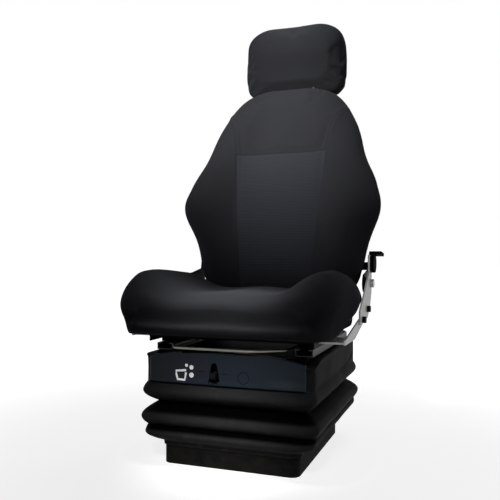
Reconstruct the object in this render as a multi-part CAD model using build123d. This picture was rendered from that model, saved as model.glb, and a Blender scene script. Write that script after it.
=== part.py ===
from build123d import *
import os
from math import asin, atan2, cos, degrees, pi, radians, sin, sqrt

os.makedirs("parts", exist_ok=True)

# Air suspension seat. Millimetres and degrees. The origin is the centre of the four mounting bolts on the
# underside of the base. The seat faces -Y, +X is the occupant's left, +Z is up. The suspension stands at the
# bottom of its travel.

# Base tray and its mounting bolts
base_width = 322.0
base_depth = 390.0
base_height = 52.0
base_corner = 20.0
base_wall = 3.0
bolt_spacing_x = base_width - 122
bolt_spacing_y = base_depth - 50
bolt_hole = 11.0

# Scissor linkage
arm_length = base_depth - 60
arm_rise = 126.0
lift_travel = 80.0
arm_height = 24.0
arm_thickness = 6.0
inner_arm_x = base_width / 2 - 48
arm_gap = 3.0
shaft_diameter = 14.0
pivot_y = base_depth / 2 - 45
roller_diameter = 22.0
roller_width = 10.0
roller_clearance = 0.5
linkage_slack = 1.9
bore_clearance = 0.2
channel_wall = 2.5
side_gap = 1.5
bracket_thickness = 4.0
stop_length = 8.0
stop_clearance = 0.3

# Air spring
spring_diameter = 104.0
spring_plate_diameter = 84.0
spring_plate_thickness = 5.0
spring_bridge_drop = 120.0
spring_bridge_depth = 110.0
spring_bridge_half = inner_arm_x - 15

# Damper
damper_x = inner_arm_x - 37
damper_lever = 55.0
damper_tube_diameter = 26.0
damper_tube_length = 110.0
damper_rod_diameter = 8.0
damper_eye_diameter = 18.0
damper_eye_slack = 0.6

# Upper housing
housing_top = 256.0
housing_width = base_width + 34
housing_front = base_depth / 2 + 7
housing_rear = base_depth / 2 + 31
housing_skirt = 76.0
housing_wall = 2.5
housing_corner = 18.0

# Bellows: heights of the folds above the base rim, and their half widths
bellows_wall = 3.0
rib_heights = (17.0, 60.0, 119.0)
rib_half_widths = (base_width / 2 + 39, base_width / 2 + 49, base_width / 2 + 44)
rib_front = housing_front + 28
rib_rear = housing_rear + 39
groove_heights = (34.0, 95.0)
groove_depths = (9.0, 30.0)
bellows_corner = 28.0
collar_half_width = housing_width / 2 + 21
collar_front = housing_front + 10
collar_rear = housing_rear + 24
collar_corner = 20.0
collar_start = 135.0
collar_drop = 6.0
cuff_height = 10.0
bellows_cuff = 4.0
hem_height = 4.0
fold_steps = 4

# Fascia with its lever
fascia_half_width = housing_width / 2 + 6
fascia_bottom = 189.0
fascia_crown = 264.0
fascia_crown_half = 100.0
fascia_shoulder = 246.0
fascia_thickness = 5.0
fascia_gap = 0.3
slot_x = -23.0
slot_width = 28.0
slot_bottom = 193.0
slot_top = 240.0
valve_pin_half = 16.0
valve_pin_diameter = 7.0
dial_x = 46.0
dial_z = 211.0
dial_diameter = 28.0

# Slide rails
rail_x = housing_width / 2 - 10
rail_width = 40.0
rail_height = 16.0
rail_wall = 2.5
rail_lip = 7.0
rail_front = 172.0
rail_length = 370.0
slide_clearance = 0.5
slider_length = 330.0
slider_front = 150.0
slider_head = 3.0
neck_width = 10.0

# Slide release bar
bar_diameter = 7.0
bar_front = 230.0
bar_pivot_y = -60.0
bar_half_width = 136.0
bar_reach_left = 113.0
bar_reach_right = 63.0
stud_diameter = 6.0

# Seat pan and cushion
pan_half_width = 196.0
pan_front = 195.0
pan_rear = 110.0
pan_thickness = 3.0
pan_rise = 19.0
cushion_half_width = 262.0
cushion_front = 280.0
cushion_rear = 112.0
cushion_height = 92.0
bolster_width = 92.0
bolster_rise = 36.0
side_bulge_at = 0.62
side_cut_x = 226.0
side_cut_front = -150.0
side_cut_rise = 92.0
soft_gap = 0.3

# Recliner: plates fixed to the seat, arms fixed to the backrest
recliner_y = 140.0
recliner_z = 405.0
plate_x = 258.0
plate_thickness = 4.0
arm_plate_x = 243.0
hub_diameter = 48.0
pivot_diameter = 12.0
lever_stem_diameter = 8.0
lever_y = 146.0
lever_z = 456.0
knob_diameter = 48.0
knob_width = 10.0
blade_width = 32.0

# Backrest, drawn in its own tilted frame: s runs up the back, t points forward
back_y = 200.0
back_z = 430.0
back_rake = 12.0
back_bottom = 75.0
back_top = 548.0
back_half_bottom = 172.0
back_half_widest = 268.0
back_widest_at = 157.0
cushion_front_t = 66.0
shell_depth = 58.0
shell_wall = 3.0
frame_t = -17.0
frame_tube = 22.0
frame_top = 478.0
cross_tube_s = 22.0
insert_top = 328.0
insert_half_top = 130.0
insert_half_bottom = 105.0
insert_raise = 5.0
pleat_pitch = 17.0
pleat_count = 21
pleat_depth = 2.2

# Headrest
headrest_half_width = 157.0
headrest_bottom = 960.0
headrest_height = 219.0
headrest_thickness = 96.0
headrest_y = 360.0
post_x = 62.0
post_diameter = 12.0
post_start = 455.0
post_length = 190.0
guide_diameter = 22.0
sleeve_diameter = 16.0

# Worked out from the sizes above
axis_z = base_wall + channel_wall + roller_clearance + roller_diameter / 2
arm_angle = degrees(asin(arm_rise / arm_length))
lift_angle = degrees(asin((arm_rise + lift_travel) / arm_length)) - arm_angle
reach = sqrt(arm_length**2 - arm_rise**2)
reach_raised = sqrt(arm_length**2 - (arm_rise + lift_travel) ** 2)
roller_y = pivot_y - reach
roller_y_raised = pivot_y - reach_raised
upper_z = axis_z + arm_rise
outer_arm_x = inner_arm_x + arm_thickness + arm_gap
roller_x = outer_arm_x + arm_thickness + side_gap
channel_x = roller_x + roller_width + side_gap
bracket_x = outer_arm_x + arm_thickness + side_gap
bridge_z = housing_top - spring_bridge_drop
rail_z = housing_top
slider_top = rail_z + rail_height + 2 * slide_clearance + slider_head
pan_z = slider_top + pan_rise
cushion_z = pan_z + pan_thickness + soft_gap
cushion_top = cushion_z + cushion_height
bar_z = slider_top - bar_diameter / 2 - 1.5
stud_x = rail_x - rail_width / 2 - slide_clearance - 4
collar_top = housing_top - collar_drop
insert_foot = insert_top - pleat_count * pleat_pitch
valve_pin_y = -housing_front + 10
valve_pin_z = (slot_bottom + slot_top) / 2 - 4
side_signs = {"left": 1, "right": -1}


def block(x0, x1, y0, y1, z0, z1):
    """A box between two corners."""
    return Pos((x0 + x1) / 2, (y0 + y1) / 2, (z0 + z1) / 2) * Box(x1 - x0, y1 - y0, z1 - z0)


def bar_x(x0, x1, y, z, diameter):
    """A round bar along X."""
    return Pos((x0 + x1) / 2, y, z) * Rot(0, 90, 0) * Cylinder(diameter / 2, abs(x1 - x0))


def bar_y(y0, y1, x, z, diameter):
    """A round bar along Y."""
    return Pos(x, (y0 + y1) / 2, z) * Rot(90, 0, 0) * Cylinder(diameter / 2, abs(y1 - y0))


def side_plate(points, x0, x1):
    """A flat plate cut to a (y, z) outline, between two planes of X."""
    outline = Plane.YZ * make_face(Polyline(*points, close=True))
    return Pos(x0, 0, 0) * extrude(outline, x1 - x0)


def link(start, end, height, x0, x1):
    """A bar with round ends between two (y, z) points."""
    run = Vector(end[0] - start[0], end[1] - start[1])
    middle = ((start[0] + end[0]) / 2, (start[1] + end[1]) / 2)
    angle = degrees(atan2(run.Y, run.X))
    outline = Pos(*middle) * Rot(0, 0, angle) * SlotCenterToCenter(run.length, height)
    return Pos(x0, 0, 0) * extrude(Plane.YZ * outline, x1 - x0)


def flipped(part, side):
    """The part as drawn for +X, or its mirror image for the other side."""
    return part if side == "left" else mirror(part, Plane.YZ)


def both(part):
    """The part and its mirror image."""
    return [part, mirror(part, Plane.YZ)]


def rounded_plan(half_width, front, rear, corner, z):
    """A rounded rectangle in plan, from y = -front to y = rear, at height z."""
    return Pos(0, (rear - front) / 2, z) * RectangleRounded(2 * half_width, front + rear, corner)


def on_back(shape):
    """Places a shape drawn as (x, s, t) onto the tilted back."""
    lean = radians(back_rake)
    return Plane(origin=(0, back_y, back_z), x_dir=(1, 0, 0), z_dir=(0, -cos(lean), sin(lean))) * shape


def along_back(x, start, end, diameter, t=frame_t):
    """A round bar that runs up the back, drawn as (x, s, t)."""
    return Pos(x, (start + end) / 2, t) * Rot(90, 0, 0) * Cylinder(diameter / 2, end - start)


# Base

def base_tray():
    outer = extrude(rounded_plan(base_width / 2, base_depth / 2, base_depth / 2, base_corner, 0), base_height)
    inner = extrude(
        rounded_plan(
            base_width / 2 - base_wall,
            base_depth / 2 - base_wall,
            base_depth / 2 - base_wall,
            base_corner - base_wall,
            base_wall,
        ),
        base_height,
    )
    holes = GridLocations(bolt_spacing_x, bolt_spacing_y, 2, 2) * Cylinder(bolt_hole / 2, 4 * base_wall)
    return outer - inner - holes


def channel_section(z, clearance, top_of_web):
    """A C channel for a roller whose axis is at height z, open towards the middle, on the +X side."""
    inside = roller_diameter / 2 + clearance
    front = roller_y - roller_diameter / 2 - stop_clearance - stop_length
    rear = roller_y_raised + roller_diameter / 2 + stop_clearance + stop_length
    web = block(channel_x, channel_x + channel_wall, front, rear, z - inside - channel_wall, top_of_web)
    lower = block(roller_x, channel_x, front, rear, z - inside - channel_wall, z - inside)
    upper = block(roller_x, channel_x, front, rear, z + inside, z + inside + channel_wall)
    return web + lower + upper


def lower_channel():
    return channel_section(axis_z, roller_clearance, axis_z + roller_diameter / 2 + roller_clearance + channel_wall)


def end_stops():
    """Rubber blocks at both ends of the lower channels, which end the travel."""
    half = roller_diameter / 2 + roller_clearance
    front = roller_y - roller_diameter / 2 - stop_clearance
    rear = roller_y_raised + roller_diameter / 2 + stop_clearance
    pieces = []
    for y0 in (front - stop_length, rear):
        pieces += both(block(roller_x, channel_x, y0, y0 + stop_length, axis_z - half, axis_z + half))
    return Compound(children=pieces)


def lower_pivot_bracket():
    half = arm_height / 2
    end_x = bracket_x + bracket_thickness
    upright = link((pivot_y, base_wall + half), (pivot_y, axis_z), arm_height, bracket_x, end_x)
    foot = block(bracket_x, bracket_x + 22, pivot_y - half, pivot_y + half, base_wall, base_wall + bracket_thickness)
    bore = bar_x(bracket_x - 1, end_x + 1, pivot_y, axis_z, shaft_diameter + 2 * bore_clearance)
    return upright + foot - bore


# Scissor arms. The outer pair turns on the base at its lower rear end, and the inner pair crosses it.

def scissor_arm(start, end, x0):
    bar = link(start, end, arm_height, x0, x0 + arm_thickness)
    for y, z in (start, end):
        bar -= bar_x(x0 - 1, x0 + arm_thickness + 1, y, z, shaft_diameter)
    return bar


arm_middle = (pivot_y - reach / 2, axis_z + arm_rise / 2)


def outer_arm():
    bar = scissor_arm((pivot_y, axis_z), (roller_y, upper_z), outer_arm_x)
    return bar - bar_x(outer_arm_x - 1, outer_arm_x + arm_thickness + 1, *arm_middle, shaft_diameter)


def inner_arm():
    bar = scissor_arm((roller_y, axis_z), (pivot_y, upper_z), inner_arm_x)
    bore = shaft_diameter + 2 * bore_clearance
    return bar - bar_x(inner_arm_x - 1, inner_arm_x + arm_thickness + 1, *arm_middle, bore)


def centre_pins():
    """Pins held in the outer arms, on which the inner arms turn."""
    start = inner_arm_x - 3
    end = outer_arm_x + arm_thickness
    pin = bar_x(start, end, *arm_middle, shaft_diameter)
    head = bar_x(start - 4, start, *arm_middle, shaft_diameter + 6)
    return Compound(children=both(pin + head))


def cross_shaft(y, z, end_x):
    return bar_x(-end_x, end_x, y, z, shaft_diameter)


def roller(z):
    bore = shaft_diameter + 2 * bore_clearance
    wheel = bar_x(roller_x, roller_x + roller_width, roller_y, z, roller_diameter)
    return Compound(children=both(wheel - bar_x(roller_x - 1, roller_x + roller_width + 1, roller_y, z, bore)))


# Air spring between the tray and the bridge of the housing

def spring_plate(z0, z1):
    return Pos(0, 0, (z0 + z1) / 2) * Cylinder(spring_plate_diameter / 2, z1 - z0)


def air_spring_bag():
    """A rolling bag with a waist ring half way up."""
    z0 = base_wall + spring_plate_thickness
    z1 = bridge_z - spring_plate_thickness
    rise = z1 - z0
    wide = spring_diameter / 2
    narrow = spring_plate_diameter / 2 - 4
    waist = wide - 8
    side = Spline(
        (narrow, z0), (wide, z0 + rise * 0.26), (waist, z0 + rise * 0.5), (wide, z0 + rise * 0.74), (narrow, z1)
    )
    profile = side + Polyline((narrow, z1), (0, z1), (0, z0), (narrow, z0))
    return revolve(Plane.XZ * make_face(profile), Axis.Z)


# Damper: its tube lies clamped on the base, and a lever on the rear shaft pulls its rod

damper_z = axis_z + damper_lever
lever_swing = lift_angle / 2
eye_y = pivot_y - damper_lever * sin(radians(lever_swing))
eye_z = axis_z + damper_lever * cos(radians(lever_swing))
tube_end = eye_y - 34.0
tube_start = tube_end - damper_tube_length


def damper_tube():
    body = bar_y(tube_start, tube_end, damper_x, eye_z, damper_tube_diameter)
    return body - bar_y(tube_start + 6, tube_end + 1, damper_x, eye_z, damper_rod_diameter + 2 * bore_clearance)


def damper_saddle(y):
    """A bent strip that stands on the tray and clamps the tube."""
    half = damper_tube_diameter / 2
    post = block(damper_x - half - 3, damper_x + half + 3, y - 9, y + 9, base_wall, eye_z + half * 0.4)
    slot = block(damper_x - half, damper_x + half, y - 10, y + 10, base_wall + 3, eye_z + half)
    foot = block(damper_x - half - 3, damper_x + half + 3, y - 9, y + 9, base_wall, base_wall + 3)
    bed = block(damper_x - half - 3, damper_x + half + 3, y - 9, y + 9, eye_z - half - 6, eye_z)
    hole = bar_y(y - 10, y + 10, damper_x, eye_z, damper_tube_diameter)
    return (post - slot) + foot + (bed - hole)


def damper_rod():
    rod = bar_y(tube_start + 20, eye_y - damper_eye_diameter / 2 + 1, damper_x, eye_z, damper_rod_diameter)
    eye = bar_x(damper_x - 5, damper_x + 5, eye_y, eye_z, damper_eye_diameter)
    hole = bar_x(damper_x - 6, damper_x + 6, eye_y, eye_z, damper_rod_diameter + 2 * damper_eye_slack)
    return rod + eye - hole


def damper_crank():
    """A fork on the rear shaft, with the pin that the rod's eye hangs on."""
    cheeks = []
    for x0 in (damper_x - 10, damper_x + 6):
        plate = link((pivot_y, axis_z), (eye_y, eye_z), damper_eye_diameter + 2, x0, x0 + 4)
        cheeks.append(plate - bar_x(x0 - 1, x0 + 5, pivot_y, axis_z, shaft_diameter))
    pin = bar_x(damper_x - 10, damper_x + 10, eye_y, eye_z, damper_rod_diameter)
    return cheeks[0] + cheeks[1] + pin


# Upper housing, which hangs over the linkage

def upper_housing():
    def body(inset, z0, z1):
        plan = rounded_plan(
            housing_width / 2 - inset, housing_front - inset, housing_rear - inset, housing_corner - inset, z0
        )
        return extrude(plan, z1 - z0)

    outer = body(0, housing_top - housing_skirt, housing_top)
    inner = body(housing_wall, housing_top - housing_skirt - 1, housing_top - housing_wall)
    slot = block(
        slot_x - slot_width / 2, slot_x + slot_width / 2, -housing_front - 1, -housing_front + 8, slot_bottom, slot_top
    )
    return outer - inner - slot


def upper_channel():
    return channel_section(upper_z, roller_clearance + linkage_slack, housing_top - housing_wall)


def upper_pivot_bracket():
    bottom = upper_z - arm_height / 2
    plate = link((pivot_y, upper_z), (pivot_y, upper_z + 1), arm_height + 8, bracket_x, bracket_x + bracket_thickness)
    plate += block(
        bracket_x, bracket_x + bracket_thickness, pivot_y - 16, pivot_y + 16, bottom + 12, housing_top - housing_wall
    )
    flange = block(
        bracket_x, bracket_x + 24, pivot_y - 16, pivot_y + 16, housing_top - housing_wall - 4, housing_top - housing_wall
    )
    bore = bar_x(
        bracket_x - 1, bracket_x + bracket_thickness + 1, pivot_y, upper_z, shaft_diameter + 2 * linkage_slack
    )
    return plate + flange - bore


def spring_bridge():
    """A hat strip hung from the housing, which the air spring lifts."""
    half, wide, sheet = spring_bridge_depth / 2, spring_bridge_half, 4.0
    bridge = block(-wide, wide, -half, half, bridge_z, bridge_z + sheet)
    for x0 in (-wide, wide - sheet):
        bridge += block(x0, x0 + sheet, -half, half, bridge_z, housing_top - housing_wall)
    return bridge


def air_compressor():
    motor = bar_x(-62, 30, 0, bridge_z + 4 + 32, 60)
    head = block(30, 72, -28, 28, bridge_z + 4, bridge_z + 66)
    foot = block(-50, 20, -24, 24, bridge_z + 4, bridge_z + 12)
    return motor + head + foot


def fascia_outline():
    left, right = -fascia_half_width, fascia_half_width
    lower = Polyline(
        (left, fascia_shoulder), (left, fascia_bottom), (right, fascia_bottom), (right, fascia_shoulder)
    )
    crown = Spline(
        (right, fascia_shoulder),
        (fascia_crown_half, fascia_crown - 4),
        (0, fascia_crown),
        (-fascia_crown_half, fascia_crown - 4),
        (left, fascia_shoulder),
    )
    return make_face(lower + crown)


def slot_outline():
    half = slot_width / 2
    shape = Polyline((slot_x - half, slot_bottom), (slot_x + half, slot_bottom), (slot_x + half * 0.55, slot_top - 10))
    arch = ThreePointArc(
        (slot_x + half * 0.55, slot_top - 10), (slot_x, slot_top), (slot_x - half * 0.55, slot_top - 10)
    )
    close = Line((slot_x - half * 0.55, slot_top - 10), (slot_x - half, slot_bottom))
    return make_face(shape + arch + close)


def fascia_panel():
    """A moulded front panel with an arched slot for the lever, a raised ring, and bosses to the housing."""
    face_y = -collar_front - fascia_gap
    front = Plane(origin=(0, face_y, 0), x_dir=(1, 0, 0), z_dir=(0, -1, 0))
    panel = extrude(front * fascia_outline(), fascia_thickness)
    panel = panel - extrude(front * slot_outline(), fascia_thickness + 1)
    ring = Pos(dial_x, dial_z) * (Circle(dial_diameter / 2) - Circle(dial_diameter / 2 - 2.5))
    panel += extrude(front * ring, fascia_thickness + 0.8)
    outer = fascia_half_width - 36
    for x in (-outer, -60, 80, outer):
        for z in (fascia_bottom + 16, fascia_shoulder - 8):
            panel += bar_y(face_y, -housing_front, x, z, 10)
    return panel


def height_lever():
    """The rocking lever of the air valve: a paddle on a short cross pin behind the panel."""
    face = -collar_front - fascia_thickness - 4
    z = valve_pin_z
    stem = block(slot_x - 4, slot_x + 4, face, valve_pin_y, z - 3, z + 3)
    paddle = block(slot_x - 7, slot_x + 7, face - 8, face, z - 7, z + 7)
    pin = bar_x(slot_x - valve_pin_half, slot_x + valve_pin_half, valve_pin_y, z, valve_pin_diameter)
    return stem + fillet(paddle.edges().filter_by(Axis.X), 2.5) + pin


def air_valve():
    """The valve block that the lever's pin turns in, on the back of the housing's front wall."""
    wall = -housing_front + housing_wall
    half = valve_pin_half + 1
    body = block(slot_x - 20, slot_x + 20, wall, valve_pin_y + 26, valve_pin_z - 16, valve_pin_z + 16)
    gap = block(slot_x - 12, slot_x + 12, -housing_front, valve_pin_y + 6, valve_pin_z - 17, valve_pin_z + 17)
    bore = bar_x(slot_x - half, slot_x + half, valve_pin_y, valve_pin_z, valve_pin_diameter + 2 * bore_clearance)
    return body - gap - bore


# Bellows

def bellows_levels():
    """(z, half width, front, rear, corner) of each level: round ribs with sharp grooves between them."""
    rim = base_height
    grow = bellows_cuff
    start = (rim, base_width / 2 + grow, base_depth / 2 + grow, base_depth / 2 + grow, base_corner + grow)
    collar = (collar_half_width, collar_front, collar_rear, collar_corner)

    def rib(i):
        return (rim + rib_heights[i], rib_half_widths[i], rib_front, rib_rear, bellows_corner)

    def groove(i):
        d = groove_depths[i]
        wide = rib_half_widths[1] - d
        return (rim + groove_heights[i], wide, rib_front - d, rib_rear - d, bellows_corner - d * 0.5)

    marks = [start, rib(0), groove(0), rib(1), groove(1), rib(2), (rim + collar_start, *collar)]
    levels = [marks[0]]
    for index, (low, high) in enumerate(zip(marks, marks[1:])):
        for step in range(1, fold_steps + 1):
            share = step / fold_steps
            rises = index % 2 == 0
            wave = sin(pi / 2 * share) if rises else 1 - cos(pi / 2 * share)
            values = [a + (b - a) * wave for a, b in zip(low[1:], high[1:])]
            levels.append((low[0] + (high[0] - low[0]) * share, *values))
    levels.append((collar_top, *collar))
    return levels


def bellows():
    """Three folds between the tray's rim and the collar that wraps the housing. Open in front for the panel."""
    levels = bellows_levels()

    def skin(inset):
        shapes = [rounded_plan(w - inset, f - inset, r - inset, c - inset * 0.8, z) for z, w, f, r, c in levels]
        return loft(shapes, ruled=True)

    def round_tray(grow, below, height):
        half_x, half_y = base_width / 2 + grow, base_depth / 2 + grow
        return extrude(rounded_plan(half_x, half_y, half_y, base_corner + grow, base_height - below), height)

    body = skin(0) + round_tray(bellows_cuff, cuff_height, cuff_height) - skin(bellows_wall)
    body -= round_tray(soft_gap, cuff_height + 1, cuff_height + 2)
    hem_z = collar_top - hem_height
    hem = rounded_plan(collar_half_width, collar_front, collar_rear, collar_corner, hem_z)
    inside = (housing_width / 2, housing_front, housing_rear, housing_corner)
    hem -= rounded_plan(*[size + soft_gap for size in inside], hem_z)
    half = fascia_half_width - 22
    window = block(-half, half, -collar_front - 5, -housing_front - 1, fascia_bottom + 8, collar_top + 1)
    return body + extrude(hem, hem_height) - window


# Slide rails under the seat pan

def lower_slide_rail():
    half = rail_width / 2
    front = -rail_front
    outer = block(rail_x - half, rail_x + half, front, front + rail_length, rail_z, rail_z + rail_height)
    hollow = block(
        rail_x - half + rail_wall,
        rail_x + half - rail_wall,
        front - 1,
        front + rail_length + 1,
        rail_z + rail_wall,
        rail_z + rail_height - rail_wall,
    )
    mouth = block(
        rail_x - half + rail_wall + rail_lip,
        rail_x + half - rail_wall - rail_lip,
        front - 1,
        front + rail_length + 1,
        rail_z + rail_wall,
        rail_z + rail_height + 1,
    )
    return outer - hollow - mouth


def upper_slide_rail():
    half = rail_width / 2 - rail_wall - slide_clearance
    front = -slider_front
    rear = front + slider_length
    foot = block(
        rail_x - half,
        rail_x + half,
        front,
        rear,
        rail_z + rail_wall + slide_clearance,
        rail_z + rail_height - rail_wall - slide_clearance,
    )
    neck = block(rail_x - neck_width / 2, rail_x + neck_width / 2, front, rear, rail_z + rail_height / 2, slider_top)
    head = block(rail_x - rail_width / 2, rail_x + rail_width / 2, front, rear, slider_top - slider_head, slider_top)
    ear = block(
        stud_x, stud_x + 4, bar_pivot_y - 8, bar_pivot_y + 8, bar_z - bar_diameter, slider_top
    )
    ear += block(stud_x, rail_x, bar_pivot_y - 8, bar_pivot_y + 8, slider_top - slider_head, slider_top)
    stud = bar_x(bar_half_width - 9, stud_x, bar_pivot_y, bar_z, stud_diameter)
    return foot + neck + head + ear + stud


def release_bar():
    """A bent round bar across the front, with a leg to the latch of each rail."""
    path = FilletPolyline(
        (-bar_half_width, bar_pivot_y, bar_z),
        (-bar_half_width + 4, -195, bar_z),
        (-bar_reach_left, -bar_front, bar_z),
        (bar_reach_right, -bar_front, bar_z),
        (bar_half_width - 4, -195, bar_z),
        (bar_half_width, bar_pivot_y, bar_z),
        radius=12,
    )
    section = Plane(origin=path @ 0, z_dir=path % 0) * Circle(bar_diameter / 2)
    bar = sweep(section, path)
    for eye in both(bar_x(bar_half_width - 8, stud_x - 1, bar_pivot_y, bar_z, bar_diameter + 7)):
        bar += eye
    return bar - bar_x(-stud_x, stud_x, bar_pivot_y, bar_z, stud_diameter + 2 * bore_clearance)


def seat_pan():
    """A pressed pan with turned down edges and two ribs that sit on the sliding rails."""
    front, rear, wide = -pan_front, pan_rear, pan_half_width
    pan = block(-wide, wide, front, rear, pan_z, pan_z + pan_thickness)
    lip = 8.0
    pan += block(-wide, wide, front, front + pan_thickness, pan_z - lip, pan_z)
    pan += block(-wide, wide, rear - pan_thickness, rear, pan_z - lip, pan_z)
    for sign in (-1, 1):
        edge = sorted((sign * wide, sign * (wide - pan_thickness)))
        pan += block(*edge, front, rear, pan_z - pan_rise + 2, pan_z)
        for offset in (-rail_width / 2, rail_width / 2 - pan_thickness):
            x0 = sign * rail_x + offset
            pan += block(x0, x0 + pan_thickness, front + 46, rear, slider_top, pan_z)
    return pan


def padded_loft(stations):
    """A padded body lofted through cross sections, each a flat underside and a curve over the top."""
    shapes = []
    for place, foot, points in stations:
        right = [foot, *points]
        left = [(-x, z) for x, z in reversed(right) if x]
        curve = Spline(*right, *left)
        shapes.append(place * make_face(curve + Line(left[-1], foot)))
    return loft(shapes)


def seat_cushion():
    """Foam cushion with a rolled front edge, raised sides, and lower sides cut up towards the rear."""
    wide, low, high = cushion_half_width, cushion_z, cushion_top
    crest = high + bolster_rise
    front, rear = -cushion_front, cushion_rear
    inner = wide - bolster_width - 40
    narrow = plate_x - 6
    # Position along Y, half width, underside, middle, crest of the sides
    rows = (
        (front, wide - 72, low + 28, high - 32, high - 28),
        (front + 8, wide - 40, low + 8, high - 12, high - 4),
        (front + 40, wide - 10, low, high - 2, high + 21),
        (front + 90, wide, low, high, crest - 4),
        (front + 170, wide, low, high, crest),
        (front + 215, wide - 8, low, high, crest - 3),
        (front + 255, narrow, low, high, crest - 7),
        (rear - 30, narrow, low, high, high + 8),
        (rear - 6, narrow - 14, low + 5, high - 10, high - 8),
        (rear, narrow - 34, low + 24, high - 30, high - 32),
    )
    stations = []
    for y, half, under, middle, top in rows:
        place = Plane(origin=(0, y, 0), x_dir=(1, 0, 0), z_dir=(0, -1, 0))
        points = [
            (half - 17, under + (top - under) * 0.22),
            (half, under + (top - under) * side_bulge_at),
            (half - bolster_width * 0.36, top),
            (inner, middle + (top - middle) * 0.1),
            (0, middle),
        ]
        stations.append((place, (half - 26, under), points))
    body = padded_loft(stations) - block(-wide - 20, wide + 20, front - 5, rear + 5, low - 20, low)
    slope = ((side_cut_front, low - 5), (side_cut_front, low), (200, low + side_cut_rise), (200, low - 5))
    for sign in (-1, 1):
        x0, x1 = sorted((sign * side_cut_x, sign * (wide + 10)))
        body -= side_plate(slope, x0, x1)
    return body


# Recliner hardware

def from_recliner(outline):
    """Points given from the recliner's axis, as (y, z) of the seat."""
    return [(recliner_y + y, recliner_z + z) for y, z in outline]


def recliner_plate(top):
    """A flat steel plate on the cushion's side, up to the recliner's axis or above it to the lever."""
    outline = [(-154, -92), (-48, -84), (-12, -60), (12, -24)]
    if top:
        outline += [(17, 65), (10, 77), (-8, 77), (-16, 65), (-20, 31)]
    else:
        outline += [(14, 15), (6, 22), (-10, 22)]
    outline += [(-80, -13), (-154, -60)]
    end_x = plate_x + plate_thickness
    plate = side_plate(from_recliner(outline), plate_x, end_x)
    plate -= bar_x(plate_x - 1, end_x + 1, recliner_y, recliner_z, pivot_diameter)
    if top:
        plate -= bar_x(plate_x - 1, end_x + 1, lever_y, lever_z, lever_stem_diameter)
    return plate


def side_bracket():
    """A bent bracket that carries the plate from the edge of the pan."""
    low = pan_z - 10
    outline = ((-170, low), (-170, pan_z), (0, pan_z + 30), (92, pan_z + 35), (92, pan_z + 26), (0, pan_z + 5), (-60, low))
    riser = side_plate(outline, plate_x - plate_thickness, plate_x)
    return riser + block(pan_half_width, plate_x, -160, -70, low, low + plate_thickness)


def recliner_pin(start_x):
    face = plate_x + plate_thickness
    pin = bar_x(start_x, face + 2, recliner_y, recliner_z, pivot_diameter - 2 * bore_clearance)
    return pin + bar_x(face, face + 8, recliner_y, recliner_z, 22)


def plate_bolts():
    face = plate_x + plate_thickness
    bolts = []
    for y, z in from_recliner(((-120, -83), (-54, -62))):
        bolts += both(bar_x(face, face + 8, y, z, 16))
    return Compound(children=bolts)


def recliner_arm():
    """The arm of the backrest: a hub on the recliner's axis and a flat plate up to the frame."""
    outline = ((0, -24), (82, -13), (92, 59), (88, 73), (70, 73), (63, 35), (0, 24))
    end_x = arm_plate_x + plate_thickness
    plate = side_plate(from_recliner(outline), arm_plate_x, end_x)
    plate += bar_x(arm_plate_x, end_x, recliner_y, recliner_z, hub_diameter)
    hub = bar_x(arm_plate_x, plate_x - soft_gap, recliner_y, recliner_z, hub_diameter - 14)
    return plate + hub - bar_x(arm_plate_x + 2, plate_x + 1, recliner_y, recliner_z, pivot_diameter)


def recline_lever():
    """A round knurled knob with a short blade on top that releases the back."""
    x0 = plate_x + plate_thickness + soft_gap
    radius = knob_diameter / 2
    knob = bar_x(x0, x0 + knob_width, lever_y, lever_z, knob_diameter)
    for step in range(24):
        angle = 2 * pi * step / 24
        y = lever_y + radius * cos(angle)
        z = lever_z + radius * sin(angle)
        knob -= bar_x(x0 + 3, x0 + knob_width + 1, y, z, 2.6)
    top = lever_z + radius
    outline = ((96, top - 1), (98, top + 7), (150, top + 2), (146, top - 6))
    blade = side_plate(outline, x0 + 2, x0 + blade_width)
    stem = bar_x(plate_x - 2, x0, lever_y, lever_z, lever_stem_diameter - 2 * bore_clearance)
    return knob + blade + stem


# Backrest

def back_rows():
    """Position up the back, half width, t of the side edge, crest from the middle, t of the crest, t of the middle."""
    low, high = soft_gap, cushion_front_t
    wide = back_half_widest
    return (
        (-back_bottom, 178, low + 8, 120, high - 44, high - 46),
        (-back_bottom + 10, 204, low + 8, 140, high - 33, high - 35),
        (-30, 222, low + 8, 160, high - 22, high - 28),
        (20, 238, low + 12, 180, high - 7, high - 17),
        (67, 249, low + 28, 194, high + 9, high - 7),
        (110, 260, low + 60, 203, high + 28, high),
        (back_widest_at, wide + 1, low + 90, 209, high + 44, high + 3),
        (220, 262, low + 87, 201, high + 42, high + 3),
        (284, 245, low + 66, 186, high + 30, high + 1),
        (350, 227, low + 42, 171, high + 15, high - 1),
        (415, 210, low + 20, 152, high + 3, high - 3),
        (470, 182, low + 12, 124, high - 6, high - 7),
        (511, 152, low + 12, 96, high - 15, high - 15),
        (back_top - 12, 112, low + 12, 70, high - 25, high - 25),
        (back_top, 70, low + 12, 40, high - 36, high - 36),
    )


def back_middle(s):
    """The t of the back's middle at a height s, between the rows."""
    for low, high in zip(back_rows(), back_rows()[1:]):
        if low[0] <= s <= high[0]:
            return low[5] + (high[5] - low[5]) * (s - low[0]) / (high[0] - low[0])


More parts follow.
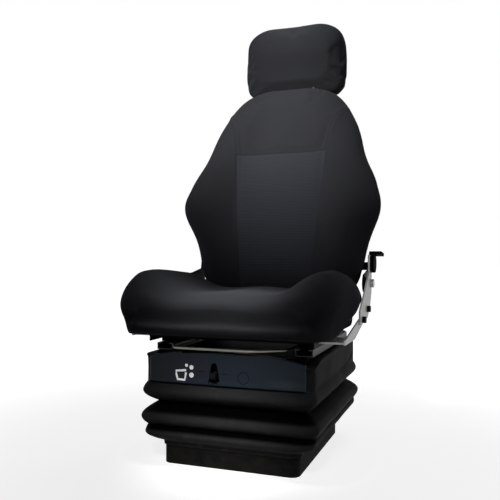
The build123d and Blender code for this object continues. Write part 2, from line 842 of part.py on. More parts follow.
def back_insert():
    """The pleated centre panel: soft rolls across the back with a seam between each two."""
    seams = [insert_top - pleat_pitch * i for i in range(pleat_count + 1)]
    edges = [Line((seams[0], cushion_front_t / 2), (seams[0], back_middle(seams[0])))]
    for above, below in zip(seams, seams[1:]):
        start = edges[-1] @ 1
        middle = (above + below) / 2
        end = (below, back_middle(below) + insert_raise - pleat_depth)
        edges.append(ThreePointArc(start, (middle, back_middle(middle) + insert_raise), end))
    foot = edges[-1] @ 1
    edges += [Line(foot, (foot.X, cushion_front_t / 2)), Line((foot.X, cushion_front_t / 2), edges[0] @ 0)]
    rolls = extrude(Plane.YZ * make_face(edges), insert_half_top, both=True)
    corners = [(insert_half_bottom, insert_foot), (insert_half_top, insert_top)]
    corners += [(-x, s) for x, s in reversed(corners)]
    return rolls & extrude(make_face(Polyline(*corners, close=True)), 2 * cushion_front_t)


def back_cushion():
    """Foam with wings at the sides and a raised, pleated centre panel."""
    stations = []
    for s, half, edge_t, crest_x, crest_t, middle_t in back_rows():
        place = Plane(origin=(0, s, 0), x_dir=(1, 0, 0), z_dir=(0, -1, 0))
        inner_t = middle_t + (crest_t - middle_t) * 0.12
        points = [(half, edge_t), (crest_x, crest_t), (crest_x * 0.62, inner_t), (0, middle_t)]
        stations.append((place, (half - 12, soft_gap), points))
    return on_back(padded_loft(stations) + back_insert())


def back_shell():
    """The moulded rear cover, a shallow dish open to the front, with holes for the headrest posts."""
    def dish(inset):
        deep = shell_depth - inset
        # Position up the back, half width, depth of the dish there
        rows = (
            (-back_bottom + inset, back_half_bottom - 16, deep - 30),
            (-back_bottom + 12 + inset, back_half_bottom + 8, deep - 12),
            (-30, 212, deep - 3),
            (67, 230, deep),
            (back_widest_at, back_half_widest - 22, deep),
            (284, 232, deep),
            (415, 200, deep - 4),
            (480, 166, deep - 10),
            (back_top - 24, 120, deep - 18),
            (back_top - 6 - inset, 88, deep - 28),
        )
        stations = []
        for s, half, depth in rows:
            place = Plane(origin=(0, s, 0), x_dir=(-1, 0, 0), z_dir=(0, -1, 0))
            wide = half - inset
            points = [(wide - 3, depth * 0.5), (wide - 22, depth * 0.87), (wide * 0.55, depth), (0, depth)]
            stations.append((place, (wide, 0 if inset == 0 else -2), points))
        return padded_loft(stations)

    shell = dish(0) - dish(shell_wall)
    for sign in (-1, 1):
        shell -= along_back(sign * post_x, back_top - 40, back_top + 40, guide_diameter + 2 * soft_gap)
    notch = Box(4 * arm_plate_x, frame_tube + 4, frame_tube + 4)
    shell -= Pos(0, cross_tube_s, frame_t) * notch
    shell -= Pos(0, cross_tube_s, 0) * notch
    return on_back(shell)


def back_frame():
    """A bent tube round the back with a lower cross tube and a headrest carrier at the top."""
    corners = ((206, 10), (200, 300), (150, frame_top))
    left = [(-x, s, frame_t) for x, s in corners]
    path = FilletPolyline(*left, *[(x, s, frame_t) for x, s in reversed(corners)], radius=45)
    section = Plane(origin=path @ 0, z_dir=path % 0) * Circle(frame_tube / 2)
    tube = sweep(section, path)
    tube += Pos(0, cross_tube_s, frame_t) * Rot(0, 90, 0) * Cylinder(frame_tube / 2, 2 * arm_plate_x)
    for sign in (-1, 1):
        tube -= along_back(sign * post_x, frame_top - 30, frame_top + 30, sleeve_diameter)
    return on_back(tube)


def post_guides():
    """Plastic sleeves for the headrest posts, with a collar on top of the shell."""
    sleeves = []
    for x in (-post_x, post_x):
        sleeve = along_back(x, back_top - 94, back_top - 7, sleeve_diameter)
        sleeve += along_back(x, back_top - 19, back_top - 7, guide_diameter)
        bore = along_back(x, back_top - 100, back_top + 10, post_diameter + 2 * bore_clearance)
        sleeves.append(on_back(sleeve - bore))
    return Compound(children=sleeves)


# Headrest

def headrest_post(x):
    return on_back(along_back(x, post_start, post_start + post_length, post_diameter))


def headrest_posts():
    return Compound(children=[headrest_post(-post_x), headrest_post(post_x)])


def headrest_cushion():
    """An upright pad with round upper corners and a narrower lower edge."""
    def outline(inset):
        wide = headrest_half_width - inset
        low = headrest_bottom + inset
        high = headrest_bottom + headrest_height - inset
        side = Polyline((wide - 30, low), (wide - 6, low + 20), (wide, low + 64), (wide - 2, high - 66))
        crown = Spline((wide - 2, high - 66), (wide - 30, high - 15), (wide - 84, high), tangents=((0, 1), (-1, 0)))
        top = Line(crown @ 1, (0, high))
        half = side + crown + top
        return make_face(half + mirror(half, Plane.YZ) + Line((-wide + 30, low), (wide - 30, low)))

    back_face = headrest_y + headrest_thickness / 2
    shapes = []
    for step in range(9):
        angle = pi * step / 8
        depth = headrest_thickness * (1 - cos(angle)) / 2
        inset = 38 * (1 - sin(angle)) ** 1.5
        place = Plane(origin=(0, back_face - depth, 0), x_dir=(1, 0, 0), z_dir=(0, -1, 0))
        shapes.append(place * outline(inset))
    pad = loft(shapes, ruled=True)
    return pad - headrest_post(-post_x) - headrest_post(post_x)


pieces = {
    "base_tray": base_tray(),
    "end_stops": end_stops(),
    "centre_pins": centre_pins(),
    "lower_rear_shaft": cross_shaft(pivot_y, axis_z, bracket_x + bracket_thickness + 2),
    "upper_front_shaft": cross_shaft(roller_y, upper_z, roller_x + roller_width),
    "lower_front_shaft": cross_shaft(roller_y, axis_z, roller_x + roller_width),
    "upper_rear_shaft": cross_shaft(pivot_y, upper_z, bracket_x + bracket_thickness + 2),
    "lower_rollers": roller(axis_z),
    "upper_rollers": roller(upper_z),
    "air_spring_lower_plate": spring_plate(base_wall, base_wall + spring_plate_thickness),
    "air_spring_upper_plate": spring_plate(bridge_z - spring_plate_thickness, bridge_z),
    "air_spring_bag": air_spring_bag(),
    "damper_tube": damper_tube(),
    "damper_saddles": Compound(children=[damper_saddle(tube_start + 22), damper_saddle(tube_end - 22)]),
    "damper_rod": damper_rod(),
    "damper_crank": damper_crank(),
    "upper_housing": upper_housing(),
    "spring_bridge": spring_bridge(),
    "air_compressor": air_compressor(),
    "fascia_panel": fascia_panel(),
    "height_lever": height_lever(),
    "air_valve": air_valve(),
    "bellows": bellows(),
    "release_bar": release_bar(),
    "seat_pan": seat_pan(),
    "seat_cushion": seat_cushion(),
    "plate_bolts": plate_bolts(),
    "recline_lever": recline_lever(),
    "back_frame": back_frame(),
    "back_shell": back_shell(),
    "back_cushion": back_cushion(),
    "post_guides": post_guides(),
    "headrest_posts": headrest_posts(),
    "headrest_cushion": headrest_cushion(),
}
for side in side_signs:
    pieces[f"lower_channel_{side}"] = flipped(lower_channel(), side)
    pieces[f"lower_pivot_bracket_{side}"] = flipped(lower_pivot_bracket(), side)
    pieces[f"outer_arm_{side}"] = flipped(outer_arm(), side)
    pieces[f"inner_arm_{side}"] = flipped(inner_arm(), side)
    pieces[f"upper_channel_{side}"] = flipped(upper_channel(), side)
    pieces[f"upper_pivot_bracket_{side}"] = flipped(upper_pivot_bracket(), side)
    pieces[f"lower_slide_rail_{side}"] = flipped(lower_slide_rail(), side)
    pieces[f"upper_slide_rail_{side}"] = flipped(upper_slide_rail(), side)
    pieces[f"side_bracket_{side}"] = flipped(side_bracket(), side)
    pieces[f"recliner_plate_{side}"] = flipped(recliner_plate(side == "left"), side)
    pieces[f"recliner_pin_{side}"] = flipped(recliner_pin(arm_plate_x + 4), side)
    pieces[f"recliner_arm_{side}"] = flipped(recliner_arm(), side)

for name, piece in pieces.items():
    export_step(piece, f"parts/{name}.step")
print(f"{len(pieces)} parts, arms turn {lift_angle:.2f} degrees over {lift_travel:.0f} mm")
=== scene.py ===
"""An air suspension cab seat: fabric cushions on a sliding and reclining frame over a rubber bellows."""

import math

import bpy
import numpy as np
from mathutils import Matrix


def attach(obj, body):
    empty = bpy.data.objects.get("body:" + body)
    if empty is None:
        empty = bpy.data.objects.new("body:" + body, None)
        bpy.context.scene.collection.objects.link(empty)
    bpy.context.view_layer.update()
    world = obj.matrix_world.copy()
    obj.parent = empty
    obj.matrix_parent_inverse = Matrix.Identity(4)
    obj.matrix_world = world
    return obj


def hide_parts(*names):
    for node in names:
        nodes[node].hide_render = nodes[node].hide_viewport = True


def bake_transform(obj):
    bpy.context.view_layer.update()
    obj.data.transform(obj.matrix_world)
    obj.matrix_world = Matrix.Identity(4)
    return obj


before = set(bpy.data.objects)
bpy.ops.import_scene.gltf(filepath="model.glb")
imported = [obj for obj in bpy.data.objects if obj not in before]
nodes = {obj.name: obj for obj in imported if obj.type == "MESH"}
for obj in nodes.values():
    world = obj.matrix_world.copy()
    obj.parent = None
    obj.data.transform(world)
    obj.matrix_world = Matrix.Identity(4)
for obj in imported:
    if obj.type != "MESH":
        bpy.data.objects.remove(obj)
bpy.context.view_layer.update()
scene = bpy.context.scene
scene.view_settings.view_transform = "Standard"


# The camera stands in front of the seat and towards its own left, a little above the seat cushion.
# The horizon lies a little below the middle of the picture.
camera = bpy.data.objects.new("camera", bpy.data.cameras.new("camera"))
scene.collection.objects.link(camera)
camera.location = (0.516, -1.469, 0.470)
camera.rotation_euler = (math.radians(90), 0, math.radians(20))
camera.data.sensor_width = 36
camera.data.lens = 44.64
camera.data.shift_y = 0.016
scene.camera = camera


# The studio is a pale floor, a soft sky and seven lamps: three narrow ones that pick out the back, the
# headrest and the seat cushion, one that lights the panel, one at each side and one behind.
# The floor and the sky look white to the camera and in gloss, and light the seat less than that.
class Value:
    """One output of a shader node. Sums and products on it add the Math nodes that they need."""

    def __init__(self, finish, socket):
        self.finish = finish
        self.socket = socket

    def math(self, operation, *terms):
        return self.finish.node("ShaderNodeMath", {"operation": operation}, dict(enumerate(terms)))

    def __add__(self, other):
        return self.math("ADD", self, other)

    def __radd__(self, other):
        return self.math("ADD", other, self)

    def __sub__(self, other):
        return self.math("SUBTRACT", self, other)

    def __rsub__(self, other):
        return self.math("SUBTRACT", other, self)

    def __mul__(self, other):
        return self.math("MULTIPLY", self, other)

    def __rmul__(self, other):
        return self.math("MULTIPLY", other, self)

    def __truediv__(self, other):
        return self.math("DIVIDE", self, other)

    def __rtruediv__(self, other):
        return self.math("DIVIDE", other, self)

    def __pow__(self, other):
        return self.math("POWER", self, other)

    def __rpow__(self, other):
        return self.math("POWER", other, self)

    def __abs__(self):
        return self.math("ABSOLUTE", self)

    def sine(self):
        return self.math("SINE", self)

    def clamp(self, low=0.0, high=1.0):
        return self.math("MINIMUM", self.math("MAXIMUM", self, low), high)

    def step(self, start, end):
        """0 below start, 1 above end, and a smooth rise between them."""
        return self.finish.node(
            "ShaderNodeMapRange",
            {"interpolation_type": "SMOOTHSTEP"},
            {"Value": self, "From Min": start, "From Max": end},
        )


class Finish:
    """A material's nodes. node() adds any one of them, and surface() closes the material."""

    def __init__(self, name):
        self.material = bpy.data.materials.new(name)
        self.material.use_nodes = True
        self.tree = self.material.node_tree
        self.tree.nodes.clear()

    def node(self, kind, settings=None, inputs=None, output=0):
        made = self.tree.nodes.new(kind)
        for key, value in (settings or {}).items():
            setattr(made, key, value)
        for key, value in (inputs or {}).items():
            if isinstance(value, Value):
                self.tree.links.new(value.socket, made.inputs[key])
            else:
                made.inputs[key].default_value = value
        return Value(self, made.outputs[output]) if made.outputs else None

    def place(self):
        """The point on the piece, in metres."""
        return self.node("ShaderNodeTexCoord", output="Object")

    def cloth_place(self):
        """The point on the cloth, in metres along its threads."""
        return self.node("ShaderNodeUVMap", {"uv_map": "weave"})

    def parts(self, vector):
        split = self.node("ShaderNodeSeparateXYZ", inputs={0: vector}).socket.node
        return [Value(self, socket) for socket in split.outputs]

    def noise(self, scale, detail=3.0, roughness=0.55, vector=None):
        return self.node(
            "ShaderNodeTexNoise",
            inputs={
                "Vector": vector or self.place(),
                "Scale": scale,
                "Detail": detail,
                "Roughness": roughness,
            },
        )

    def mix(self, share, first, second):
        """A colour from the first to the second as share goes from 0 to 1."""
        colours = [c if isinstance(c, Value) else (*c, 1) for c in (first, second)]
        inputs = {0: share, 6: colours[0], 7: colours[1]}
        return self.node("ShaderNodeMix", {"data_type": "RGBA"}, inputs, output=2)

    def bump(self, height, distance, strength=1.0):
        return self.node(
            "ShaderNodeBump", inputs={"Height": height, "Distance": distance, "Strength": strength}
        )

    def surface(self, **inputs):
        """Joins a Principled shader with these inputs to the output, and gives the material."""
        named = {key.replace("_", " "): value for key, value in inputs.items()}
        colour = named["Base Color"]
        if not isinstance(colour, Value):
            named["Base Color"] = (*colour, 1)
        shader = self.node("ShaderNodeBsdfPrincipled", inputs=named)
        self.node("ShaderNodeOutputMaterial", inputs={"Surface": shader})
        return self.material


def make_piece(name, points, faces, material, smooth=True):
    """A mesh object with its place in its mesh."""
    mesh = bpy.data.meshes.new(name)
    mesh.from_pydata(np.asarray(points, float).reshape(-1, 3).tolist(), [], [list(f) for f in faces])
    mesh.validate()
    mesh.shade_smooth() if smooth else mesh.shade_flat()
    mesh.materials.append(material)
    piece = bpy.data.objects.new(name, mesh)
    scene.collection.objects.link(piece)
    return piece


def make_studio():
    world = bpy.data.worlds.new("sky")
    scene.world = world
    world.use_nodes = True
    tree = world.node_tree
    tree.nodes.clear()
    path = tree.nodes.new("ShaderNodeLightPath")
    seen = tree.nodes.new("ShaderNodeMath")
    seen.operation = "MAXIMUM"
    tree.links.new(path.outputs["Is Camera Ray"], seen.inputs[0])
    tree.links.new(path.outputs["Is Transmission Ray"], seen.inputs[1])
    glossy = tree.nodes.new("ShaderNodeMath")
    glossy.operation = "MAXIMUM"
    tree.links.new(seen.outputs[0], glossy.inputs[0])
    tree.links.new(path.outputs["Is Glossy Ray"], glossy.inputs[1])
    sky_light, sky_seen = 0.022, 1.0
    level = tree.nodes.new("ShaderNodeMapRange")
    level.inputs["To Min"].default_value = sky_light
    level.inputs["To Max"].default_value = sky_seen
    tree.links.new(glossy.outputs[0], level.inputs["Value"])
    background = tree.nodes.new("ShaderNodeBackground")
    background.inputs["Color"].default_value = (1, 1, 1, 1)
    tree.links.new(level.outputs[0], background.inputs["Strength"])
    output = tree.nodes.new("ShaderNodeOutputWorld")
    tree.links.new(background.outputs[0], output.inputs["Surface"])

    paint = Finish("floor")
    tone = paint.mix(paint.noise(3.0), (0.50, 0.50, 0.50), (0.53, 0.53, 0.53))
    diffuse = paint.node("ShaderNodeBsdfDiffuse", inputs={"Color": tone})
    rays = paint.node("ShaderNodeLightPath").socket.node
    seen = Value(paint, rays.outputs["Is Camera Ray"])
    seen = seen.math("MAXIMUM", seen, Value(paint, rays.outputs["Is Glossy Ray"]))
    x, y, _ = paint.parts(paint.place())
    away = ((x * x + y * y) ** 0.5).step(0.45, 1.6)
    strength = seen * (away * 0.25 + 0.80)
    glow = paint.node("ShaderNodeEmission", inputs={"Color": (1, 1, 1, 1), "Strength": strength})
    both = paint.node("ShaderNodeAddShader", inputs={0: diffuse, 1: glow})
    paint.node("ShaderNodeOutputMaterial", inputs={"Surface": both})
    half = 30.0
    floor = make_piece(
        "floor",
        [(-half, -half, 0), (half, -half, 0), (half, half, 0), (-half, half, 0)],
        [(0, 1, 2, 3)],
        paint.material,
    )
    # Each lamp has its place, the point that it is aimed at, its width, its spread in degrees and its watts
    lamps = {
        "lamp_back": ((-0.50, -1.45, 1.80), (0.0, 0.26, 0.84), 0.2, 25, 0.92),
        "lamp_head": ((-0.20, -0.15, 2.30), (0.0, 0.36, 1.18), 0.2, 16, 0.20),
        "lamp_over": ((0.0, -0.55, 2.20), (0.0, -0.18, 0.42), 0.2, 13, 0.32),
        "lamp_right": ((2.10, 0.20, 1.20), (0.0, 0.0, 0.45), 1.0, 180, 3.5),
        "lamp_left": ((-2.10, 0.10, 1.40), (0.0, 0.0, 0.55), 1.0, 180, 3.5),
        "lamp_front": ((0.30, -1.60, 1.30), (0.0, -0.23, 0.07), 0.2, 13, 0.17),
        "lamp_behind": ((0.30, 2.10, 1.60), (0.0, 0.2, 0.60), 1.0, 180, 12.0),
    }
    for name, (spot, target, size, spread, power) in lamps.items():
        light = bpy.data.lights.new(name, "AREA")
        light.shape = "DISK"
        light.size = size
        light.spread = math.radians(spread)
        light.energy = power
        lamp = bpy.data.objects.new(name, light)
        scene.collection.objects.link(lamp)
        lamp.location = spot
        aim = np.array(target) - np.array(spot)
        lamp.rotation_euler = (
            math.atan2(math.hypot(aim[0], aim[1]), -aim[2]),
            0,
            math.atan2(aim[1], aim[0]) - math.pi / 2,
        )


make_studio()


def dress(material, *names):
    """Gives a material to these solids of the frame."""
    for name in names:
        nodes[name].data.materials.clear()
        nodes[name].data.materials.append(material)


def tray_finish():
    coat = Finish("tray_coat")
    z = coat.parts(coat.place())[2]
    dust = coat.noise(26, 6, 0.65)
    speck = coat.noise(420, 2)
    low = 1 - z.step(0.0, 0.045)
    share = ((dust - 0.42) * 3.2 + low * 0.35).clamp()
    colour = coat.mix(share, (0.005, 0.005, 0.005), (0.015, 0.0145, 0.013))
    colour = coat.mix((speck - 0.62).clamp() * 2.5, colour, (0.07, 0.065, 0.055))
    return coat.surface(
        Base_Color=colour,
        Roughness=0.72 + dust * 0.2,
        Specular_IOR_Level=0.05,
        Normal=coat.bump(dust * 0.6 + speck * 0.4, 0.0012),
    )


dress(tray_finish(), "base_tray")


# The scissor arms, their brackets and tracks are steel plate with a satin black coat, worn in small spots.
# They stand inside the bellows, between the tray and the housing. The frame of the back and the seat pan
# have the same coat, and the shafts and pins are bare steel.
def black_coat(name, tone=0.016, roughness=0.42, shine=0.015):
    coat = Finish(name)
    cloud = coat.noise(14, 4)
    peel = coat.noise(900, 1)
    scratch = coat.noise(60, 8, 0.7)
    worn = (scratch - 0.66).clamp() * 6
    colour = coat.mix(cloud, (tone * 0.7, tone * 0.7, tone * 0.72), (tone * 1.35, tone * 1.33, tone * 1.3))
    return coat.surface(
        Base_Color=coat.mix(worn.clamp(0, 0.6), colour, (0.12, 0.12, 0.12)),
        Roughness=roughness + cloud * 0.18,
        Specular_IOR_Level=shine,
        Normal=coat.bump(peel, 0.00025, 0.6),
    )


def bright_steel(name, tone, roughness, warm=0.0, grain=35):
    """Bare or plated steel: clouded, with fine lines along the piece and a few dull spots."""
    metal = Finish(name)
    cloud = metal.noise(grain, 5, 0.6)
    stretched = metal.node("ShaderNodeMapping", inputs={"Vector": metal.place(), "Scale": (1.0, 0.06, 1.0)})
    line = metal.noise(700, 2, 0.5, stretched)
    spot = (metal.noise(90, 6, 0.7) - 0.6).clamp() * 4
    dull = (tone * 0.55, tone * 0.55, tone * (0.55 - warm))
    full = (tone, tone, tone * (1.02 - warm))
    colour = metal.mix(cloud, dull, full)
    return metal.surface(
        Base_Color=metal.mix(spot.clamp(0, 0.5), colour, (tone * 0.4, tone * 0.38, tone * 0.34)),
        Metallic=1.0,
        Roughness=roughness + cloud * 0.2 + spot * 0.15,
        Normal=metal.bump(line * 0.5 + cloud * 0.5, 0.0002, 0.5),
    )


frame_coat = black_coat("frame_coat")
dress(
    frame_coat,
    *(f"{piece}_{side}" for side in ("left", "right") for piece in (
        "outer_arm", "inner_arm", "lower_channel", "upper_channel", "lower_pivot_bracket",
        "upper_pivot_bracket", "recliner_arm")),
    "spring_bridge",
    "damper_saddles",
    "damper_crank",
    "back_frame",
    "seat_pan",
)
shaft_steel = bright_steel("shaft_steel", 0.42, 0.28)
dress(
    shaft_steel,
    "lower_rear_shaft", "upper_front_shaft", "lower_front_shaft", "upper_rear_shaft",
    "centre_pins", "damper_rod", "recliner_pin_left", "recliner_pin_right",
)


# The housing is a drawn steel box over the scissor arms, in a duller black. It carries the rails, the air
# valve and the compressor. The two plates of the air spring have the same coat.
housing_coat = black_coat("housing_coat", 0.006, 0.5, 0.004)
dress(housing_coat, "upper_housing", "air_spring_lower_plate", "air_spring_upper_plate")


# The rollers, the compressor's case, the valve, the height lever and the post guides are moulded plastic.
# The damper is enamelled, and the air spring's bag and the end stops in the tracks are rubber.
def moulded_plastic(name, colour, roughness=0.45, grain=0.00012, shine=0.04):
    plastic = Finish(name)
    fine = plastic.noise(1500, 2)
    cloud = plastic.noise(20, 4)
    dark = tuple(c * 0.8 for c in colour)
    light = tuple(c * 1.2 for c in colour)
    return plastic.surface(
        Base_Color=plastic.mix(cloud, dark, light),
        Roughness=roughness + cloud * 0.15,
        Specular_IOR_Level=shine,
        Normal=plastic.bump(fine, grain, 0.8),
    )


dress(moulded_plastic("roller_plastic", (0.08, 0.08, 0.078)), "lower_rollers", "upper_rollers")
dress(
    moulded_plastic("black_plastic", (0.012, 0.012, 0.013), 0.38),
    "air_compressor", "air_valve", "height_lever", "post_guides",
)
dress(moulded_plastic("damper_enamel", (0.02, 0.02, 0.022), 0.3), "damper_tube")
dress(moulded_plastic("spring_rubber", (0.014, 0.014, 0.014), 0.6, 0.0003), "air_spring_bag", "end_stops")


# The bellows is one moulded rubber skin with three ribs. Its cuff grips the tray's rim and its collar wraps
# the housing, open in front for the panel. Each level is a rounded rectangle that swings between marks.
RIM = 0.052
BELLOWS_MARKS = np.array([
    # height, half width, front, rear, corner
    (RIM, 0.165, 0.199, 0.199, 0.024),
    (0.075, 0.200, 0.229, 0.264, 0.028),
    (0.088, 0.200, 0.211, 0.252, 0.022),
    (0.109, 0.210, 0.230, 0.265, 0.028),
    (0.140, 0.178, 0.191, 0.230, 0.012),
    (0.169, 0.205, 0.230, 0.265, 0.028),
    (0.187, 0.199, 0.212, 0.250, 0.020),
])
COLLAR_TOP = 0.250
HOUSING_HALF = (0.1783, 0.2023, 0.2263)  # half width, front, rear
# Heights between which the painted shade in the two folds comes and goes
FOLD_SHADE_MARKS = ((0.077, 0.083), (0.090, 0.099), (0.117, 0.123), (0.142, 0.155))  # in and out of the two folds
RIPPLE = 0.0006
CREASE = dict(depth=0.0035, width=0.0045, low=0.190, rise=0.026, front=-0.19, rear=0.22)
SAG = dict(x=0.190, y=-0.212, drop=0.014)
WINDOW = dict(half=0.160, front=-0.19, low=0.197)


def rounded_rings(levels, per_corner=10, per_side=44):
    """Closed rings of points, one for each (z, half width, front, rear, corner).

    A ring is four quarter circles of the corner radius joined by straight sides.
    """
    z, half, front, rear, corner = (levels[:, i][:, None] for i in range(5))
    arcs = []
    for sign_x, sign_y, start in ((1, 1, 0), (-1, 1, 90), (-1, -1, 180), (1, -1, 270)):
        angle = np.radians(np.linspace(start, start + 90, per_corner))[None, :]
        edge_y = rear if sign_y > 0 else front
        x = sign_x * (half - corner) + corner * np.cos(angle)
        y = sign_y * (edge_y - corner) + corner * np.sin(angle)
        arcs.append(np.stack([x, y], axis=2))
    pieces = []
    share = np.linspace(0, 1, per_side + 2)[1:-1][None, :, None]
    for arc, following in zip(arcs, arcs[1:] + arcs[:1]):
        pieces.append(arc)
        pieces.append(arc[:, -1:] * (1 - share) + following[:, :1] * share)
    flat = np.concatenate(pieces, axis=1)
    return np.concatenate([flat, np.broadcast_to(z[:, :, None], flat.shape[:2] + (1,))], axis=2)


def ring_faces(rings, columns):
    """Quads between neighbouring rings, facing outwards when the rings rise and turn anticlockwise."""
    row, column = np.meshgrid(np.arange(rings - 1), np.arange(columns), indexing="ij")
    following = (column + 1) % columns
    low, high = row * columns, (row + 1) * columns
    return np.stack([low + column, low + following, high + following, high + column], axis=2).reshape(-1, 4)


def bellows_profile():
    """Levels from the cuff up to the collar's hem.

    Out to a rib a level swings as sin(pi s / 2) of the way s, and back into a groove as 1 - cos(pi s / 2),
    so the ribs are round and the grooves sharp.
    """
    rows = [np.array([[0.042, 0.1646, 0.1986, 0.1986, 0.0236], [0.047, 0.1652, 0.1992, 0.1992, 0.0240]])]
    for index, (low, high) in enumerate(zip(BELLOWS_MARKS, BELLOWS_MARKS[1:])):
        share = np.linspace(0, 1, 11)[:-1]
        wave = np.sin(np.pi / 2 * share) if index % 2 == 0 else 1 - np.cos(np.pi / 2 * share)
        level = low + (high - low) * wave[:, None]
        level[:, 0] = low[0] + (high[0] - low[0]) * share
        rows.append(level)
    collar = BELLOWS_MARKS[-1]
    top = collar.copy()
    top[0] = COLLAR_TOP - 0.006
    rows.append(collar + (top - collar) * np.linspace(0, 1, 14)[:, None])
    lip = [(-0.0045, 0.0018), (-0.002, 0.0024), (0.0003, 0.0016), (0.0012, -0.0004)]
    for rise, out in lip:
        rows.append(np.array([[COLLAR_TOP + rise, *(collar[1:] + out)]]))
    for inward in (0.3, 0.65, 1.0):
        ends = [a + (b - a) * inward for a, b in zip(collar[1:4] - 0.0004, HOUSING_HALF)]
        rows.append(np.array([[COLLAR_TOP + 0.001 - 0.002 * inward, *ends, 0.0196 - 0.0013 * inward]]))
    return np.concatenate(rows)


def rubber_finish():
    """Rubber chalked where the folds stand out, with painted shade that makes it deep black inside them."""
    rubber = Finish("bellows_rubber")
    z = rubber.parts(rubber.place())[2]
    fold_light = rubber.node("ShaderNodeAttribute", {"attribute_name": "fold_light"}, output=2)
    cloud = rubber.noise(9, 5, 0.6)
    fine = rubber.noise(800, 2)
    chalk = (rubber.noise(34, 6, 0.68) - 0.52).clamp() * 2.6
    high = z.step(0.06, 0.13)
    colour = rubber.mix(cloud, (0.027, 0.027, 0.0274), (0.043, 0.043, 0.0435))
    colour = rubber.mix((chalk * (1.1 - high * 0.7)).clamp(0, 0.55), colour, (0.070, 0.067, 0.060))
    return rubber.surface(
        # Painted shade: the skin goes near black inside the two folds
        Base_Color=rubber.mix(fold_light, (0.0015, 0.0015, 0.0016), colour),
        Roughness=0.52 + cloud * 0.12 + chalk * 0.15,
        Specular_IOR_Level=0.006,
        Normal=rubber.bump(fine * 0.5 + cloud * 0.5, 0.0004, 0.7),
    )


def fold_light_at(height):
    """1 on the faces of the ribs and the collar and 0 inside the two folds, where shade is painted, by the
    height before any sag.
    """
    under, over, above, top = (np.clip((height - low) / (high - low), 0, 1) for low, high in FOLD_SHADE_MARKS)
    return 1 - under + over - above + top


def settle(piece):
    """Turns the piece's live modifiers into its mesh."""
    bpy.context.view_layer.update()
    graph = bpy.context.evaluated_depsgraph_get()
    mesh = bpy.data.meshes.new_from_object(piece.evaluated_get(graph))
    piece.modifiers.clear()
    piece.data = mesh


def make_bellows():
    levels = bellows_profile()
    rings = rounded_rings(levels)
    x, y, z = rings[..., 0], rings[..., 1], rings[..., 2]
    turn = np.arctan2(y, x)
    # Soft ripples that die out at the cuff and at the collar's edge
    slack = np.clip((z - 0.06) / 0.02, 0, 1) * np.clip((COLLAR_TOP - 0.01 - z) / 0.02, 0, 1)
    ripple = (np.sin(turn * 7 + 11 * z) + 0.7 * np.sin(turn * 13 - 40 * z + 1)) * RIPPLE
    outward = np.stack([np.cos(turn), np.sin(turn)], axis=2)
    rings[..., :2] += outward * (ripple * slack)[..., None]
    # A long crease from the rib up to the collar, where the skin has been folded, on both side walls
    along = np.clip((y + 0.02) / 0.245, 0, 1)
    crease_z = CREASE["low"] + CREASE["rise"] * along ** 3.5
    depth = CREASE["depth"] * np.exp(-(((z - crease_z) / CREASE["width"]) ** 2))
    depth = depth * (np.abs(x) > 0.18) * (y > CREASE["front"]) * (y < CREASE["rear"])
    rings[..., 0] -= np.sign(x) * depth
    # The collar's front corner on the seat's own left has sagged off the housing
    sag = np.exp(-(((x - SAG["x"]) / 0.035) ** 2) - ((y - SAG["y"]) / 0.045) ** 2)
    rings[..., 2] -= SAG["drop"] * (sag * np.clip((z - 0.195) / 0.055, 0, 1))
    count = rings.shape[1]
    points = rings.reshape(-1, 3)
    faces = ring_faces(len(levels), count)
    middle = points[faces].mean(axis=1)
    window = np.abs(middle[:, 0]) < WINDOW["half"]
    window &= (middle[:, 1] < WINDOW["front"]) & (middle[:, 2] > WINDOW["low"])
    piece = make_piece("bellows_skin", points, faces[~window], rubber_finish())
    # For each point, how much light the painted shade in the folds leaves
    fold_light = piece.data.attributes.new("fold_light", "FLOAT", "POINT")
    fold_light.data.foreach_set("value", fold_light_at(np.repeat(levels[:, 0], count)))
    wall = piece.modifiers.new("wall", "SOLIDIFY")
    wall.thickness = 0.003
    wall.offset = -1
    settle(piece)
    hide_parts("bellows")
    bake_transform(piece)


make_bellows()


# The front panel is a glossy plastic moulding clipped to the housing. It has an arched slot for the height
# lever, a moulded ring and two short dashes, and a printed seat sign.
PANEL_HALF = 0.184
PANEL_BOTTOM = 0.189
PANEL_BACK = -0.2123
SLOT = dict(x=-0.023, half=0.014, low=0.193, top=0.240)
RING = dict(x=0.046, z=0.211, radius=0.0125)
DASHES = ((-0.054, 0.010, 0.220), (0.002, 0.006, 0.217))  # middle, half length, height
MARK_RISE = 0.0009


def panel_top(x):
    """Height of the panel's upper edge: level in the middle, falling to both ends."""
    middle = 0.264 - 0.004 * (x / 0.1) ** 2
    left = 0.2635 - 0.0175 * np.clip((-x - 0.1) / 0.084, 0, 1) ** 1.6
    right = 0.260 - 0.014 * np.clip((x - 0.1) / 0.084, 0, 1) ** 1.4
    return np.where(x < -0.1, np.minimum(left, 0.2635), np.where(x > 0.1, right, middle))


def panel_face(x, z):
    """Y of the panel's front: a shallow crown, edges rolled back, and a lip along the foot."""
    crown = 0.0022 * (1 - (x / PANEL_HALF) ** 2)
    foot = 0.0022 * (1 - np.clip((z - 0.196) / 0.010, 0, 1)) ** 2
    inside = np.minimum.reduce([PANEL_HALF - np.abs(x), z - PANEL_BOTTOM, panel_top(x) - z])
    radius = 0.0042
    short = np.clip(radius - inside, 0, radius)
    roll = radius - np.sqrt(np.maximum(radius**2 - short**2, 0))
    y = PANEL_BACK - 0.0048 - crown - foot + roll
    ring = np.abs(np.hypot(x - RING["x"], z - RING["z"]) - RING["radius"])
    y -= MARK_RISE * np.exp(-((ring / 0.0011) ** 2))
    for middle, half, height in DASHES:
        dash = np.maximum(np.abs(x - middle) - half, 0) + np.abs(z - height)
        y -= MARK_RISE * np.exp(-((dash / 0.0014) ** 2))
    return y


